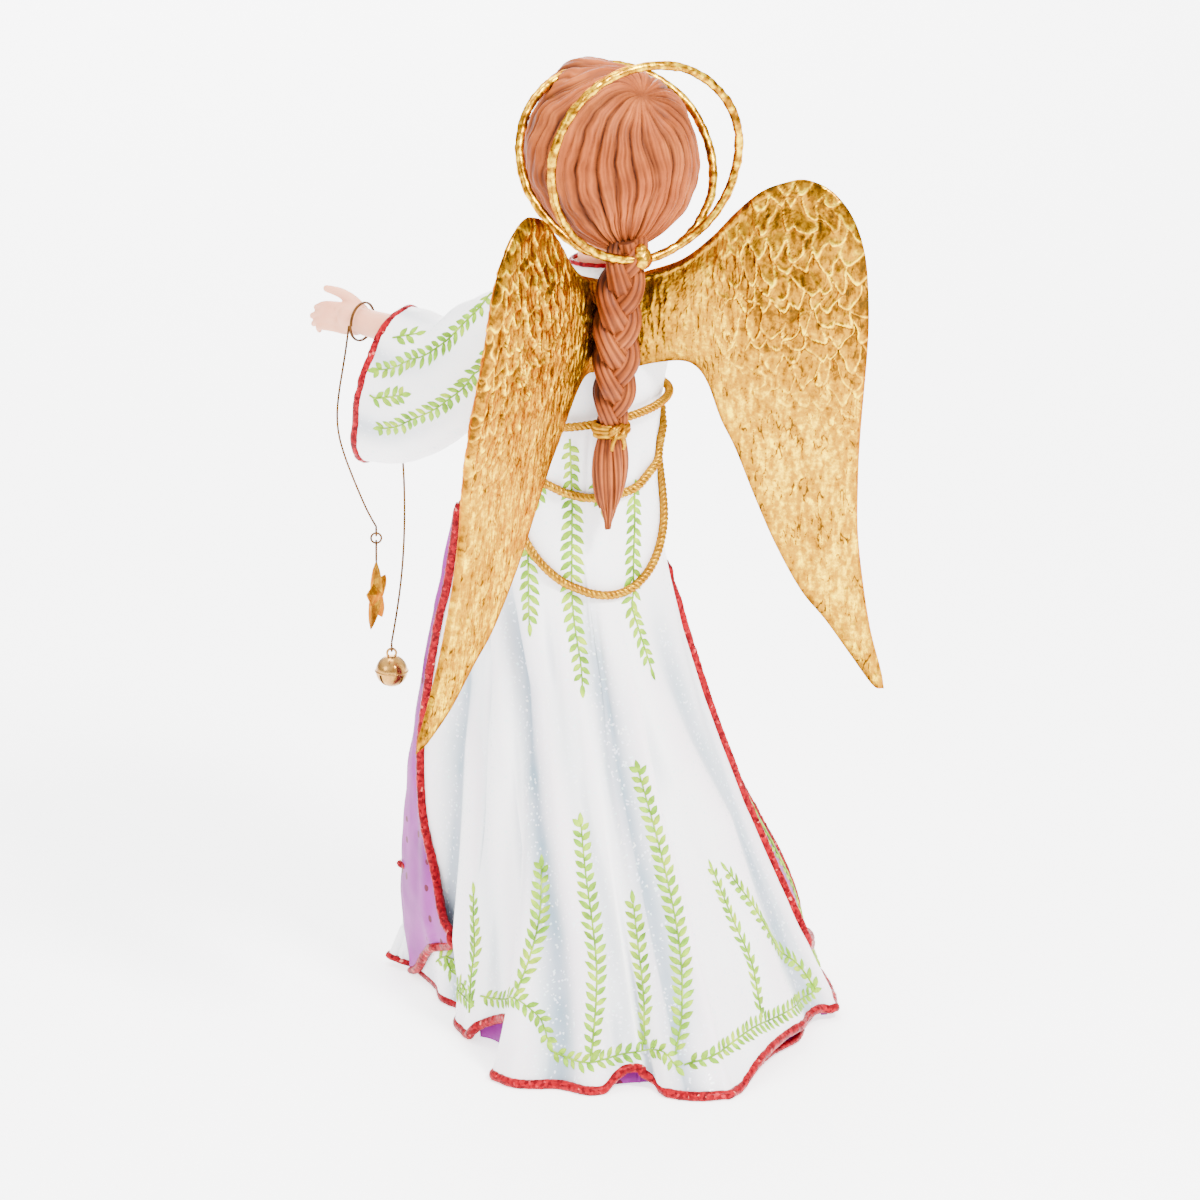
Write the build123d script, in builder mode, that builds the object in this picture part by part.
from build123d import *
import math
import os

os.makedirs("parts", exist_ok=True)

# Resin angel figurine. Millimetres. +Z up, the figure faces -Y, its left hand is on +X.
# The origin is on the resting face of the felt pad, under the waist.

# ---------------------------------------------------------------- driving dimensions
pad_t = 1.0             # felt pad thickness
pad_inset = 0.93        # felt pad outline as a share of the dress outline
hem_z = 0.6             # height of the coat hem above the table
waist_z = 150.0         # where the skirt of the coat joins the bodice
coat_wall = 3.0         # wall of the cast coat skirt
hem_fall = 1.45         # how quickly the skirt opens below the waist
neck_z = 232.0          # top of the bodice
neck_r = 7.6
head_c = (-1.0, 12.0, 262.0)
head_r = 21.4
head_half_h = 24.0
hair_c = (-1.5, 14.0, 264.0)
hair_r = 25.6
hair_half_h = 27.0
halo_node = (-1.5, 35.5, 240.0)   # where the two halo rings meet at the nape
halo_r = 29.7           # ring centreline radius
halo_wire_r = 1.3
halo_back_tilt = 4.0    # degrees, back ring leans backwards
halo_front_tilt = 35.0  # degrees, front ring leans forwards round the head
bead_r = 3.0
rope_r = 1.15           # moulded rope belts
peg_r = 2.2             # wing pegs
peg_len = 10.0
sleeve_wall = 2.4
wrist_r = 4.7
wrist_z = 203.0
wire_r = 0.3            # brass charm wire
wire_loop_r = 5.6       # loop round the wrist
wire_l = 59.0           # distance of the wrist loop's plane along the arm
strand_l = 59.63        # the two hanging ends lie just beyond the loop
eye_r = 1.2             # eyes at the two wire ends, centreline radius
ring_r = 1.5            # star's jump ring, centreline radius
link_gap = 0.7          # tube centre to tube centre where two links hang in each other
star_r = 11.0
star_t = 3.2
bell_r = 4.65
bell_wall = 0.5
bell_slot = 0.9
pea_r = 1.4


# ---------------------------------------------------------------- plain geometry helpers
def lerp_table(t, table):
    """Linear interpolation in a table of (t, a, b, ...) rows sorted by rising t."""
    if t <= table[0][0]:
        return table[0][1:]
    for lo, hi in zip(table, table[1:]):
        if t <= hi[0]:
            f = (t - lo[0]) / (hi[0] - lo[0])
            return tuple(a + (b - a) * f for a, b in zip(lo[1:], hi[1:]))
    return table[-1][1:]


def catmull(points, per_span):
    """Smooth open curve through plan points, as a list of points."""
    pts = [points[0]] + list(points) + [points[-1]]
    out = []
    for i in range(1, len(pts) - 2):
        p0, p1, p2, p3 = pts[i - 1:i + 3]
        for k in range(per_span):
            t = k / per_span
            out.append(tuple(
                0.5 * (2 * b + (c - a) * t + (2 * a - 5 * b + 4 * c - d) * t * t
                       + (3 * b - a - 3 * c + d) * t ** 3)
                for a, b, c, d in zip(p0, p1, p2, p3)))
    out.append(tuple(points[-1]))
    return out


def offset_open(points, dist):
    """Plan points moved sideways by dist, to the left of the direction of travel."""
    out = []
    for i, p in enumerate(points):
        a = points[max(i - 1, 0)]
        b = points[min(i + 1, len(points) - 1)]
        dx, dy = b[0] - a[0], b[1] - a[1]
        n = math.hypot(dx, dy)
        out.append((p[0] - dy / n * dist, p[1] + dx / n * dist))
    return out


# Plan outline of the coat hem, from the left front edge round the back to the right front
# edge, and the points of the waistline that each of them hangs from.
coat_hem = [(27.6, -57.4), (32, -30), (39, 2), (31, 24), (44, 42), (38, 57), (27, 67),
            (16, 72), (6, 83), (-9, 83), (-37, 62), (-65, 33), (-76.5, 3), (-79, -25)]
coat_waist = [(26, -30), (27.2, -17), (25.8, -6), (22.5, 4), (17.5, 11), (13.5, 13.9),
              (9, 15.9), (4.5, 16.8), (0, 17.2), (-5, 16.7), (-14, 13.2), (-22.3, 4),
              (-24.2, -9), (-20, -26)]
# front edges of the coat: height, x, y
left_edge = [(0.6, 27.6, -57.4), (50, 29, -50), (95, 29, -47), (127, 27.5, -38), (150, 26, -30)]
right_edge = [(0.6, -79, -25), (12, -79, -22), (24, -73, -20), (49, -59, -17), (66, -51, -15),
              (92.5, -40, -14), (114, -34, -13), (132, -27.5, -19), (150, -20, -26)]


def coat_plan(z):
    g = ((waist_z - z) / (waist_z - hem_z)) ** hem_fall
    pts = [(w[0] + (h[0] - w[0]) * g, w[1] + (h[1] - w[1]) * g)
           for w, h in zip(coat_waist, coat_hem)]
    le, re = lerp_table(z, left_edge), lerp_table(z, right_edge)
    dl = (le[0] - pts[0][0], le[1] - pts[0][1])
    dr = (re[0] - pts[-1][0], re[1] - pts[-1][1])
    n = len(pts)
    for i, share in ((0, 1.0), (1, 0.5), (2, 0.12)):
        pts[i] = (pts[i][0] + dl[0] * share, pts[i][1] + dl[1] * share)
        j = n - 1 - i
        pts[j] = (pts[j][0] + dr[0] * share, pts[j][1] + dr[1] * share)
    return catmull(pts, 3)


# Plan outlines of the dress inside the coat, height by height.
dress_levels = [
    (1.0, [(23, -20), (22.5, -42), (24, -56), (29.5, -64), (20, -71), (0, -74), (-22, -73),
           (-44, -65), (-60, -50), (-66, -33), (-62, -12), (-46, 12), (-22, 28), (2, 27), (17, 10)]),
    (26.0, [(22.5, -20), (22, -40), (24, -53.5), (30, -61), (19, -68), (0, -71), (-21, -69.5),
            (-40, -61), (-53, -47), (-58, -31), (-54, -11), (-40, 10), (-19, 24), (2, 23), (16, 8)]),
    (52.0, [(22, -20), (22, -38), (24, -50), (28, -57), (18, -64), (0, -66.5), (-19, -64),
            (-34, -56), (-44, -44), (-48, -28), (-44, -9), (-32, 9), (-15, 19), (2, 19), (15, 5)]),
    (100.0, [(20, -18), (20.5, -31), (21, -40), (17, -46), (8, -50), (-4, -51), (-15, -48),
             (-23, -41), (-28.5, -31), (-30, -19), (-27.5, -6), (-20, 5), (-10, 11), (2, 11), (13.5, 1)]),
    (150.0, [(16.3, -10), (15.2, -16.5), (12.3, -20.5), (8.5, -23), (3, -24.6), (-2.5, -24.5),
             (-7.5, -22.6), (-12, -19.4), (-15.2, -14.8), (-16.6, -9), (-15.3, -2), (-11, 3.6),
             (-4.5, 7), (3, 7.2), (11.5, 3.2)]),
]

# Bodice of the coat: height, centre x, centre y, half width, half depth
bodice_levels = [(150, 0, -5, 24, 22), (161, 0, -5, 23.2, 21), (172, 0, -3.5, 22.6, 20),
                 (190, 0, 0, 23, 20), (205, 0, 3, 24.5, 19.5), (217, -0.5, 7, 21.5, 16),
                 (226, -1, 10, 13.5, 12), (232, -1, 11, 8.6, 8.6)]

# ---------------------------------------------------------------- felt pad and dress
with BuildPart() as felt_pad:
    with BuildSketch(Plane.XY):
        with BuildLine():
            cx, cy = -18.0, -22.0
            Spline(*[(cx + (x - cx) * pad_inset, cy + (y - cy) * pad_inset)
                     for x, y in dress_levels[0][1]], periodic=True)
        make_face()
    extrude(amount=pad_t)

with BuildPart() as underdress:
    for level, outline in dress_levels:
        with BuildSketch(Plane.XY.offset(level)):
            with BuildLine():
                Spline(*outline, periodic=True)
            make_face()
    loft()

# ---------------------------------------------------------------- coat
# The skirt of the coat is an open shell: its plan is a C that is open at the front.
with BuildPart() as coat_skirt:
    for level in (hem_z, 12, 26, 46, 68, 92, 114, 132, waist_z):
        outer = coat_plan(level)
        inner = offset_open(outer, coat_wall)
        with BuildSketch(Plane.XY.offset(level)):
            with BuildLine():
                Spline(*outer)
                Line(outer[-1], inner[-1])
                Spline(*inner[::-1])
                Line(inner[0], outer[0])
            make_face()
    loft()

# Pegs that hold the wings, let into the back of the bodice.
with BuildPart() as left_wing_peg:
    with BuildSketch(Plane(origin=(8.2, 17.0, 217), x_dir=(0, 0, 1), z_dir=(0.30, 0.954, 0))):
        Circle(peg_r)
    extrude(amount=peg_len)

with BuildPart() as right_wing_peg:
    with BuildSketch(Plane(origin=(-8.2, 17.0, 217), x_dir=(0, 0, 1), z_dir=(-0.30, 0.954, 0))):
        Circle(peg_r)
    extrude(amount=peg_len)

with BuildPart() as bodice:
    for level, cx, cy, a, b in bodice_levels:
        with BuildSketch(Plane.XY.offset(level)):
            with Locations((cx, cy)):
                Ellipse(a, b)
    loft()
    add(left_wing_peg.part, mode=Mode.SUBTRACT)
    add(right_wing_peg.part, mode=Mode.SUBTRACT)

# ---------------------------------------------------------------- head and hair
with BuildPart() as halo_bead:
    with Locations(halo_node):
        Sphere(bead_r)

# Pin from the bead into the nape.
with BuildPart() as halo_stem:
    with BuildSketch(Plane(origin=halo_node, x_dir=(1, 0, 0), z_dir=(0, -0.94, 0.34))):
        Circle(1.0)
    extrude(amount=12)
    add(halo_bead.part, mode=Mode.SUBTRACT)

with BuildPart() as head:
    with BuildSketch(Plane.XZ.offset(-head_c[1])):
        with BuildLine():
            EllipticalCenterArc((head_c[0], head_c[2]), head_r, head_half_h, start_angle=-90, arc_size=180)
            Line((head_c[0], head_c[2] + head_half_h), (head_c[0], head_c[2] - head_half_h))
        make_face()
    revolve(axis=Axis((head_c[0], head_c[1], 0), (0, 0, 1)))
    with BuildSketch(Plane.XY.offset(neck_z)):
        with Locations((-1, 11)):
            Circle(neck_r)
    extrude(amount=18)
    add(halo_stem.part, mode=Mode.SUBTRACT)

front_ring_dir = (0, -math.sin(math.radians(halo_front_tilt)), math.cos(math.radians(halo_front_tilt)))
back_ring_dir = (0, math.sin(math.radians(halo_back_tilt)), math.cos(math.radians(halo_back_tilt)))


def ring_plane(direction):
    return Plane(origin=tuple(p + halo_r * d for p, d in zip(halo_node, direction)),
                 x_dir=(1, 0, 0), z_dir=(0, -direction[2], direction[1]))


with BuildPart() as hair:
    with BuildSketch(Plane.XZ.offset(-hair_c[1])):
        with BuildLine():
            EllipticalCenterArc((hair_c[0], hair_c[2]), hair_r, hair_half_h, start_angle=-90, arc_size=180)
            Line((hair_c[0], hair_c[2] + hair_half_h), (hair_c[0], hair_c[2] - hair_half_h))
        make_face()
    revolve(axis=Axis((hair_c[0], hair_c[1], 0), (0, 0, 1)))
    # front roll, swept up and back from the forehead
    with Locations((0.5, 2.5, 279)):
        Sphere(12.8)
    # face opening, below the hairline and in front of the ears
    with Locations((hair_c[0] + 0.5, hair_c[1] - 30, 254)):
        Box(36, 46, 46, mode=Mode.SUBTRACT)
    # the hair ends above the collar
    with Locations((hair_c[0], hair_c[1], 232)):
        Box(60, 60, 6.5, mode=Mode.SUBTRACT)
    add(head.part, mode=Mode.SUBTRACT)
    add(halo_stem.part, mode=Mode.SUBTRACT)
    # groove that the front halo ring lies in
    with Locations(ring_plane(front_ring_dir)):
        Torus(halo_r, halo_wire_r + 0.4, mode=Mode.SUBTRACT)

# Braid hanging from the nape, and the gold band tied round it.
# Rows: height, centre x, centre y, half width, half depth
braid_rows = [(158, 4.7, 25.2, 0.8, 0.8), (164, 4.6, 24.9, 3.0, 2.6), (172, 4.4, 25.0, 5.0, 3.8),
              (180, 4.2, 25.6, 5.2, 4.0), (187, 4.2, 26.6, 3.6, 3.2), (194, 4.4, 28.4, 5.4, 4.4),
              (205, 4.8, 30.6, 6.3, 5.0), (218, 5.0, 32.2, 6.6, 5.2), (230, 4.6, 33.6, 6.4, 5.2),
              (238, 3.0, 33.0, 5.6, 5.0)]
with BuildPart() as braid:
    for level, cx, cy, a, b in braid_rows:
        with BuildSketch(Plane.XY.offset(level)):
            with Locations((cx, cy)):
                Ellipse(a, b)
    loft()
    add(hair.part, mode=Mode.SUBTRACT)
    add(bodice.part, mode=Mode.SUBTRACT)
    with Locations(halo_node):
        Sphere(bead_r, mode=Mode.SUBTRACT)
    for d in (front_ring_dir, back_ring_dir):
        with Locations(ring_plane(d)):
            Torus(halo_r, halo_wire_r, mode=Mode.SUBTRACT)

with BuildPart() as hair_tie:
    with BuildSketch(Plane.XY.offset(184.6)):
        with Locations((4.2, 26.6)):
            Ellipse(5.2, 4.6)
    extrude(amount=5)
    fillet(hair_tie.edges(), radius=1.2)
    add(braid.part, mode=Mode.SUBTRACT)
    add(bodice.part, mode=Mode.SUBTRACT)

# ---------------------------------------------------------------- halo
with BuildPart() as halo_back_ring:
    with Locations(ring_plane(back_ring_dir)):
        Torus(halo_r, halo_wire_r)
    add(halo_bead.part, mode=Mode.SUBTRACT)

with BuildPart() as halo_front_ring:
    with Locations(ring_plane(front_ring_dir)):
        Torus(halo_r, halo_wire_r)
    add(halo_bead.part, mode=Mode.SUBTRACT)
    add(halo_back_ring.part, mode=Mode.SUBTRACT)

# ---------------------------------------------------------------- wings
# Horizontal slices of the figure's left wing. Rows: height, inner x, outer x, thickness.
# The middle surface of each slice is a straight line in plan, given by wing_line.
wing_rows = [(100.6, 75.3, 78.0, 2.4), (104, 73.0, 77.2, 2.8), (112, 67.0, 74.4, 3.2), (122, 60.1, 71.3, 3.6),
             (134, 51.8, 69.1, 4.0), (148, 44.6, 66.8, 4.4), (162, 38.8, 65.5, 4.8), (178, 32.6, 64.2, 5.2),
             (190, 27.6, 63.6, 5.6), (199, 23.6, 62.9, 6.0), (204, 17.0, 62.5, 6.2), (206.5, 8.5, 62.3, 6.2),
             (216, 8.0, 61.7, 6.4), (226, 8.0, 60.7, 6.6), (231, 8.6, 60.2, 6.6), (236, 15.6, 59.6, 6.6),
             (244, 23.2, 58.3, 6.4), (252, 28.7, 56.0, 6.0), (258, 33.5, 52.8, 5.2), (262.4, 39.5, 47.6, 3.4)]

# The left wing is a little narrower below and reaches further in.
left_wing_rows = [(100.6, 69.6, 72.2, 2.4), (104, 66.6, 71.3, 2.8), (112, 59.3, 68.6, 3.2), (122, 52.4, 65.6, 3.6),
                  (134, 43.8, 63.4, 4.0), (148, 36.8, 61.4, 4.4), (162, 30.8, 60.3, 4.8), (178, 24.3, 60.4, 5.2),
                  (190, 19.0, 61.6, 5.6), (199, 14.2, 62.3, 6.0), (204, 9.5, 62.4, 6.2)]


def wing_line(z):
    slope, x0 = lerp_table(z, [(100, 0.29, 25), (170, 0.50, 18), (231, 0.76, 8), (262, 0.80, 6)])
    return slope, x0


def wing_slice(row, side):
    z, xi, xo, th = row
    slope, x0 = wing_line(z)
    n = math.hypot(1, slope)
    ux, uy = 1 / n, slope / n
    p = (xi, 24 + slope * (xi - x0))
    length = (xo - xi) * n
    pts = []
    for share, off in ((0.0, 0.0), (0.10, 0.62), (0.45, 1.0), (0.85, 0.85), (1.0, 0.0),
                       (0.85, -0.55), (0.45, -0.72), (0.10, -0.5)):
        x = p[0] + ux * length * share - uy * off * th / 2
        y = p[1] + uy * length * share + ux * off * th / 2
        pts.append((side * x, y))
    return pts


with BuildPart() as left_wing:
    for row in left_wing_rows + wing_rows[11:]:
        with BuildSketch(Plane.XY.offset(row[0])):
            with BuildLine():
                Spline(*wing_slice(row, 1), periodic=True)
            make_face()
    loft(ruled=True)
    add(bodice.part, mode=Mode.SUBTRACT)
    add(left_wing_peg.part, mode=Mode.SUBTRACT)
    add(braid.part, mode=Mode.SUBTRACT)

with BuildPart() as right_wing:
    for row in wing_rows:
        with BuildSketch(Plane.XY.offset(row[0])):
            with BuildLine():
                Spline(*wing_slice(row, -1), periodic=True)
            make_face()
    loft(ruled=True)
    add(bodice.part, mode=Mode.SUBTRACT)
    add(right_wing_peg.part, mode=Mode.SUBTRACT)
    add(braid.part, mode=Mode.SUBTRACT)

# ---------------------------------------------------------------- rope belts
# The top belt is a ring round the bodice; the two others hang from it across the back.
belt_plane = Plane(origin=(0, 0.2, 187.2), x_dir=(1, 0, 0), z_dir=(0.10, -0.02, 0.99))
with BuildPart() as belt_cord_top:
    with BuildLine(belt_plane):
        EllipticalCenterArc((0, 0), 24.6, 21.6, start_angle=0, arc_size=360)
    with BuildSketch(Plane(origin=belt_plane.from_local_coords((24.6, 0, 0)), x_dir=belt_plane.x_dir,
                           z_dir=belt_plane.y_dir)):
        Circle(rope_r)
    sweep()
    add(braid.part, mode=Mode.SUBTRACT)
    add(hair_tie.part, mode=Mode.SUBTRACT)
    add(bodice.part, mode=Mode.SUBTRACT)


def swag_points(rows):
    """Route on the outside of the body: angle from the back in degrees (+ to the figure's left), height."""
    pts = []
    for deg, z in rows:
        t = math.radians(deg)
        if z >= waist_z:
            cx, cy, a, b = lerp_table(z, bodice_levels)
            r = rope_r + 0.35
            pts.append((cx + (a + r) * math.sin(t), cy + (b + r) * math.cos(t), z))
        else:
            g = ((waist_z - z) / (waist_z - hem_z)) ** hem_fall
            r = rope_r + 0.7
            pts.append(((24.6 + 34 * g + r) * math.sin(t) - 4 * g, -5 + 10 * g + (22.2 + 42 * g + r) * math.cos(t), z))
    return pts


def smooth_route(points):
    """Largest even radius at each corner of a route of straight runs."""
    radii = []
    for a, b, c in zip(points, points[1:], points[2:]):
        u, v = Vector(*b) - Vector(*a), Vector(*c) - Vector(*b)
        turn = math.radians(u.get_angle(v))
        radii.append(0.45 * min(u.length, v.length) / math.tan(turn / 2))
    return radii


middle_rows = [(92, 182.2), (84, 178), (66, 171.5), (46, 166.5), (24, 163.6), (2, 162.8), (-20, 163.8),
               (-42, 166.8), (-62, 172), (-80, 178.2), (-89, 182.2)]
lower_rows = [(101, 181), (91, 170), (76, 157.5), (58, 146.5), (38, 139.2), (18, 135.4), (-4, 134.6),
              (-24, 137.2), (-42, 142), (-60, 149.5), (-76, 159.5), (-90, 171.5), (-99, 181.5)]


def rope(rows):
    pts = swag_points(rows)
    return pts, smooth_route(pts)


middle_pts, middle_radii = rope(middle_rows)
lower_pts, lower_radii = rope(lower_rows)

with BuildPart() as belt_cord_middle:
    with BuildLine() as middle_line:
        FilletPolyline(*middle_pts, radius=middle_radii)
    with BuildSketch(Plane(origin=middle_line.line @ 0, z_dir=middle_line.line % 0)):
        Circle(rope_r)
    sweep()
    add(bodice.part, mode=Mode.SUBTRACT)
    add(coat_skirt.part, mode=Mode.SUBTRACT)
    add(braid.part, mode=Mode.SUBTRACT)

with BuildPart() as belt_cord_lower:
    with BuildLine() as lower_line:
        FilletPolyline(*lower_pts, radius=lower_radii)
    with BuildSketch(Plane(origin=lower_line.line @ 0, z_dir=lower_line.line % 0)):
        Circle(rope_r)
    sweep()
    add(bodice.part, mode=Mode.SUBTRACT)
    add(coat_skirt.part, mode=Mode.SUBTRACT)
    add(braid.part, mode=Mode.SUBTRACT)

# ---------------------------------------------------------------- sleeves and hands
# Each arm runs from its shoulder along a horizontal direction. Rows: distance along the arm,
# centre height, half height, half width, forward tilt of the section in degrees.
sleeve_rows = [(3, 212, 11, 8.5, 0), (12, 204.5, 17, 10.5, 0), (22, 196, 20.5, 12, 1),
               (32, 189.8, 22.2, 13, 4), (41, 186.6, 24, 13.6, 9), (50, 186, 25.2, 14, 14)]
left_shoulder = (20.0, 2.0)
left_dir = (0.469, -0.883)
right_shoulder = (-19.0, 2.0)
right_dir = (-0.208, -0.978)
right_scale = 0.9       # the right sleeve is bent up closer to the body


def arm_plane(shoulder, direction, along, z, tilt):
    t = math.radians(tilt)
    d = (direction[0] * math.cos(t), direction[1] * math.cos(t), math.sin(t))
    return Plane(origin=(shoulder[0] + direction[0] * along, shoulder[1] + direction[1] * along, z),
                 x_dir=(-direction[1], direction[0], 0), z_dir=d)


with BuildPart() as left_sleeve:
    for along, z, hz, hw, tilt in sleeve_rows:
        with BuildSketch(arm_plane(left_shoulder, left_dir, along, z, tilt)):
            Ellipse(hw, hz)
    loft()
    for along, z, hz, hw, tilt in sleeve_rows[2:]:
        with BuildSketch(arm_plane(left_shoulder, left_dir, along + 0.01, z, tilt)):
            Ellipse(hw - sleeve_wall, hz - sleeve_wall)
    loft(mode=Mode.SUBTRACT)
    add(bodice.part, mode=Mode.SUBTRACT)
    for cord in (belt_cord_top, belt_cord_middle, belt_cord_lower):
        add(cord.part, mode=Mode.SUBTRACT)

with BuildPart() as right_sleeve:
    for along, z, hz, hw, tilt in sleeve_rows:
        with BuildSketch(arm_plane(right_shoulder, right_dir, along * right_scale, z + along * 0.06, tilt)):
            Ellipse(hw * 0.95, hz * 0.92)
    loft()
    for along, z, hz, hw, tilt in sleeve_rows[2:]:
        with BuildSketch(arm_plane(right_shoulder, right_dir, along * right_scale + 0.01, z + along * 0.06, tilt)):
            Ellipse(hw * 0.95 - sleeve_wall, hz * 0.92 - sleeve_wall)
    loft(mode=Mode.SUBTRACT)
    add(bodice.part, mode=Mode.SUBTRACT)
    for cord in (belt_cord_top, belt_cord_middle, belt_cord_lower):
        add(cord.part, mode=Mode.SUBTRACT)

# Forearm and hand rows: distance along the arm, height, half width, half height.
left_hand_rows = [(22.3, 199.0, 4.7, 5.2), (28, 200, 4.8, 5.3), (34, 201, 4.8, 5.3), (40, 202, 4.7, 5.2),
                  (46, 202.5, 4.6, 5.0), (52, 202.8, 4.4, 4.8), (58, 203, 4.2, 4.7), (63, 203.3, 3.7, 5.7),
                  (68, 204.2, 3.1, 6.2), (73, 205.4, 2.5, 5.4), (77, 206.6, 1.8, 3.6)]
with BuildPart() as left_hand:
    for along, z, hw, hh in left_hand_rows:
        with BuildSketch(arm_plane(left_shoulder, left_dir, along, z, 0)):
            Ellipse(hw, hh)
    loft()

right_hand_rows = [(20.0, 198.0, 4.6, 5.2), (26, 198.8, 4.7, 5.3), (32, 199.8, 4.7, 5.3), (38, 201.2, 4.6, 5.1),
                   (44, 203.3, 4.4, 4.8), (49, 206.2, 4.2, 4.7), (53, 209.4, 3.8, 5.4), (57, 213.4, 3.3, 6.0),
                   (61, 217.6, 2.8, 5.6), (64.5, 221.6, 1.9, 3.6)]
with BuildPart() as right_hand:
    for along, z, hw, hh in right_hand_rows:
        with BuildSketch(arm_plane(right_shoulder, right_dir, along, z, 0)):
            Ellipse(hw, hh)
    loft()

# ---------------------------------------------------------------- charm wire on the left wrist
arm_x = (left_dir[0], left_dir[1], 0)
arm_h = (-left_dir[1], left_dir[0], 0)          # horizontal, across the arm


def on_wire(h, z, along=wire_l):
    return (left_shoulder[0] + left_dir[0] * along + arm_h[0] * h,
            left_shoulder[1] + left_dir[1] * along + arm_h[1] * h, z)


wire_plane = Plane(origin=on_wire(0, wrist_z), x_dir=arm_h, z_dir=arm_x)

# Routes of the two hanging ends: across the arm, height
star_route = [(5.6, 203.0), (6.7, 197.3), (8.5, 190.6), (10.4, 184.0), (11.4, 177.4), (10.6, 171.2),
              (8.0, 164.6), (4.4, 157.6), (0.4, 150.4), (-3.6, 143.6), (-7.3, 138.7)]
bell_route = [(-5.6, 203.0), (-8.2, 195.6), (-12.2, 187.6), (-15.5, 178.0), (-18.1, 168.0), (-19.9, 158.0),
              (-20.8, 147.5), (-20.9, 137.0), (-20.3, 127.0), (-18.9, 117.5), (-16.6, 108.0), (-14.6, 101.6)]
star_wire_pts = [on_wire(h, z, strand_l) for h, z in star_route]
bell_wire_pts = [on_wire(h, z, strand_l) for h, z in bell_route]
star_wire_radii = smooth_route(star_wire_pts)
bell_wire_radii = smooth_route(bell_wire_pts)
print("star wire radii", [round(r, 1) for r in star_wire_radii])
print("bell wire radii", [round(r, 1) for r in bell_wire_radii])

# Horizontal directions that the hanging links lie along.
link_y = (-0.40, -0.917, 0)      # eyes lie in the plane of this and +Z
link_x = (-0.917, 0.40, 0)      # jump ring and bell shank lie in the plane of this and +Z


def moved(p, *steps):
    for direction, dist in steps:
        p = tuple(a + b * dist for a, b in zip(p, direction))
    return p


up = (0, 0, 1)
star_eye_c = moved(star_wire_pts[-1], (up, -(eye_r + wire_r)))
bell_eye_c = moved(bell_wire_pts[-1], (up, -(eye_r + wire_r)))
star_ring_c = moved(star_eye_c, (up, -eye_r + link_gap - ring_r))
bail_top = moved(star_ring_c, (up, -ring_r + link_gap))
shank_r = 1.3
bell_shank_c = moved(bell_eye_c, (up, -eye_r + link_gap - shank_r))
bell_c = moved(bell_shank_c, (up, -bell_r - 0.75))

with BuildPart() as wrist_wire:
    with Locations(wire_plane):
        Torus(wire_loop_r, wire_r)

with BuildPart() as star_wire:
    with BuildLine() as star_line:
        FilletPolyline(*star_wire_pts, radius=star_wire_radii)
    with BuildSketch(Plane(origin=star_line.line @ 0, z_dir=star_line.line % 0)):
        Circle(wire_r)
    sweep()
    print("star wire length", round(star_line.wire().length, 2), "volume ratio",
          round(star_wire.part.volume / (math.pi * wire_r ** 2 * star_line.wire().length), 4))

with BuildPart() as bell_wire:
    with BuildLine() as bell_line:
        FilletPolyline(*bell_wire_pts, radius=bell_wire_radii)
    with BuildSketch(Plane(origin=bell_line.line @ 0, z_dir=bell_line.line % 0)):
        Circle(wire_r)
    sweep()
    print("bell wire length", round(bell_line.wire().length, 2), "volume ratio",
          round(bell_wire.part.volume / (math.pi * wire_r ** 2 * bell_line.wire().length), 4))

with BuildPart() as star_eye:
    with Locations(Plane(origin=star_eye_c, x_dir=link_y, z_dir=link_x)):
        Torus(eye_r, wire_r)

with BuildPart() as bell_eye:
    with Locations(Plane(origin=bell_eye_c, x_dir=link_y, z_dir=link_x)):
        Torus(eye_r, wire_r)

with BuildPart() as star_jump_ring:
    with Locations(Plane(origin=star_ring_c, x_dir=link_x, z_dir=link_y)):
        Torus(ring_r, wire_r)

# Star charm with a long bail. The star hangs nearly edge-on to the back view.
bail_len = 6.2
bail_w = 1.1
bail_plane = Plane(origin=bail_top, x_dir=link_y, z_dir=link_x)
with BuildPart() as star_bail:
    with BuildLine(bail_plane) as bail_line:
        Line((bail_w, -bail_w), (bail_w, -bail_len + bail_w))
        RadiusArc((bail_w, -bail_len + bail_w), (-bail_w, -bail_len + bail_w), bail_w)
        Line((-bail_w, -bail_len + bail_w), (-bail_w, -bail_w))
        RadiusArc((-bail_w, -bail_w), (bail_w, -bail_w), bail_w)
    with BuildSketch(Plane(origin=bail_line.line @ 0, z_dir=bail_line.line % 0)):
        Circle(wire_r)
    sweep()

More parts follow.
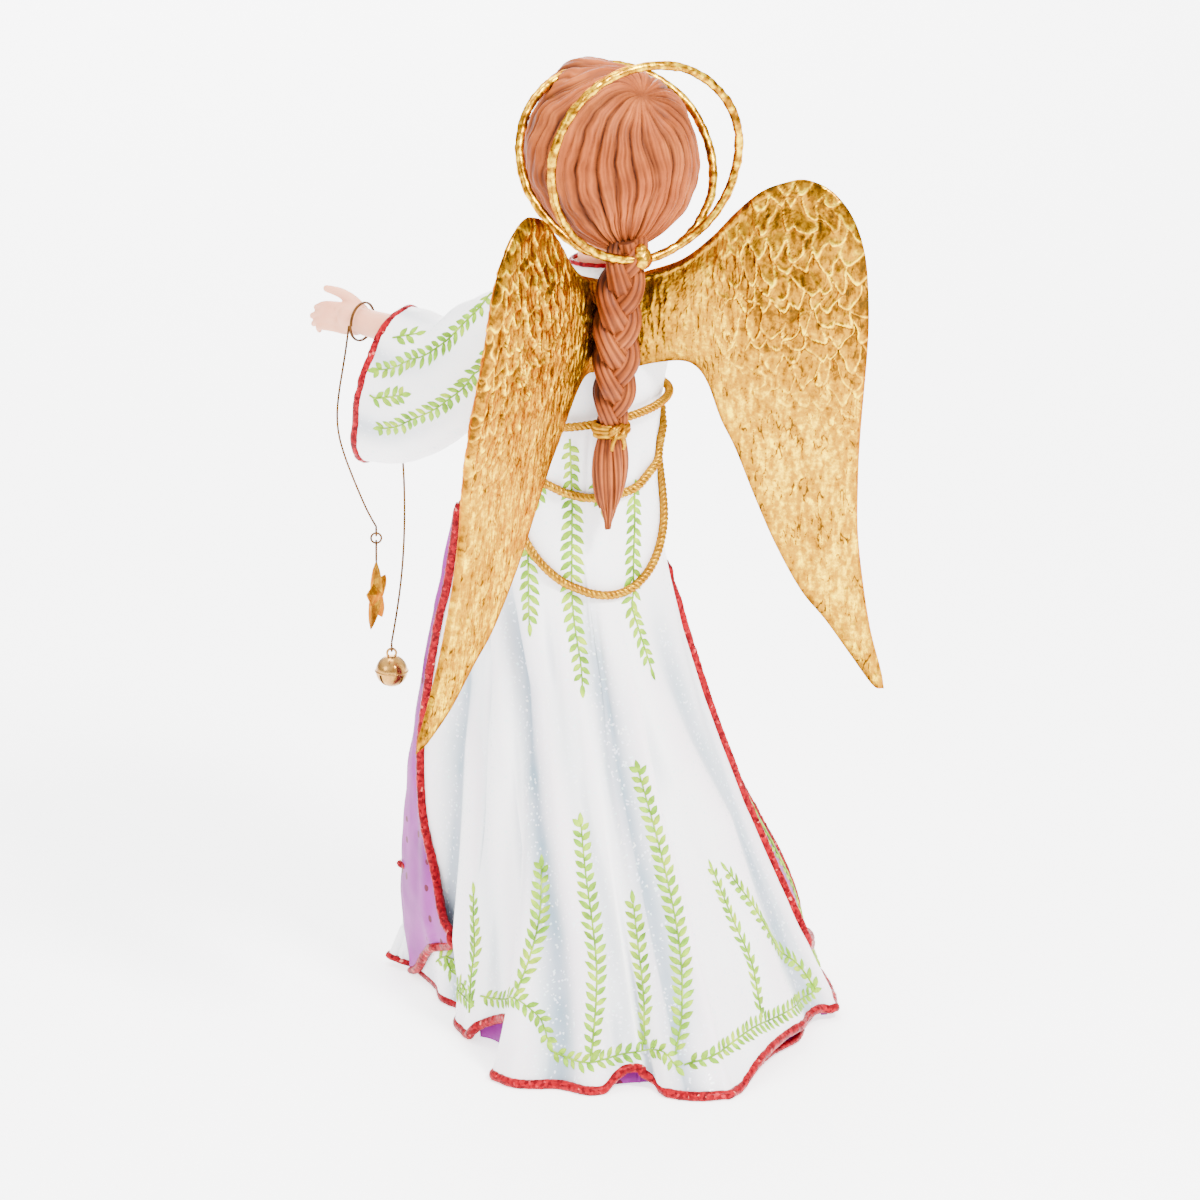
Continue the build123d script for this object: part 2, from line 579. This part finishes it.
star_c = moved(bail_top, (up, -bail_len + 0.5 - star_r), (link_y, 0.0))
star_dir = (link_y[0] * 0.96 + link_x[0] * 0.28, link_y[1] * 0.96 + link_x[1] * 0.28, 0)
star_n = (-star_dir[1], star_dir[0], 0)
star_plane = Plane(origin=moved(star_c, (star_n, -star_t / 2)), x_dir=star_dir, z_dir=star_n)
with BuildPart() as star_charm:
    with BuildSketch(star_plane):
        with BuildLine():
            tips = []
            for i in range(10):
                r = star_r if i % 2 == 0 else star_r * 0.50
                t = math.radians(36 * i + 90)
                if star_plane.y_dir.Z < 0:
                    t = -t
                tips.append((r * math.cos(t), r * math.sin(t)))
            Polyline(*tips, close=True)
        make_face()
    extrude(amount=star_t)
    fillet(star_charm.edges().filter_by(Axis(star_c, star_n)), radius=0.5)
    add(star_bail.part, mode=Mode.SUBTRACT)

with BuildPart() as bell_shell:
    with Locations(bell_c):
        Sphere(bell_r)
        Sphere(bell_r - bell_wall, mode=Mode.SUBTRACT)
    with Locations(moved(bell_c, (up, -bell_r))):
        Box(bell_slot, 3 * bell_r, 2 * bell_r, rotation=(0, 0, 20), mode=Mode.SUBTRACT)
        Box(3 * bell_r, bell_slot, 2 * bell_r, rotation=(0, 0, 20), mode=Mode.SUBTRACT)

with BuildPart() as bell_shank:
    with Locations(Plane(origin=bell_shank_c, x_dir=link_x, z_dir=link_y)):
        Torus(shank_r, 0.35)
    with Locations(bell_c):
        Sphere(bell_r, mode=Mode.SUBTRACT)

with BuildPart() as bell_pea:
    with Locations(moved(bell_c, (up, -(bell_r - bell_wall - pea_r - 0.12)))):
        Sphere(pea_r)

# ---------------------------------------------------------------- write the pieces
for name, piece in (
        ("felt_pad", felt_pad), ("underdress", underdress), ("coat_skirt", coat_skirt), ("bodice", bodice),
        ("left_sleeve", left_sleeve), ("right_sleeve", right_sleeve), ("left_hand", left_hand),
        ("right_hand", right_hand), ("head", head), ("hair", hair), ("braid", braid), ("hair_tie", hair_tie),
        ("halo_bead", halo_bead), ("halo_back_ring", halo_back_ring), ("halo_front_ring", halo_front_ring),
        ("halo_stem", halo_stem), ("left_wing_peg", left_wing_peg), ("right_wing_peg", right_wing_peg),
        ("left_wing", left_wing), ("right_wing", right_wing), ("belt_cord_top", belt_cord_top),
        ("belt_cord_middle", belt_cord_middle), ("belt_cord_lower", belt_cord_lower),
        ("wrist_wire", wrist_wire), ("star_wire", star_wire), ("star_eye", star_eye),
        ("bell_wire", bell_wire), ("bell_eye", bell_eye), ("star_jump_ring", star_jump_ring),
        ("star_bail", star_bail), ("star_charm", star_charm), ("bell_shell", bell_shell),
        ("bell_shank", bell_shank), ("bell_pea", bell_pea)):
    piece.part.label = name
    export_step(piece.part, "parts/" + name + ".step")
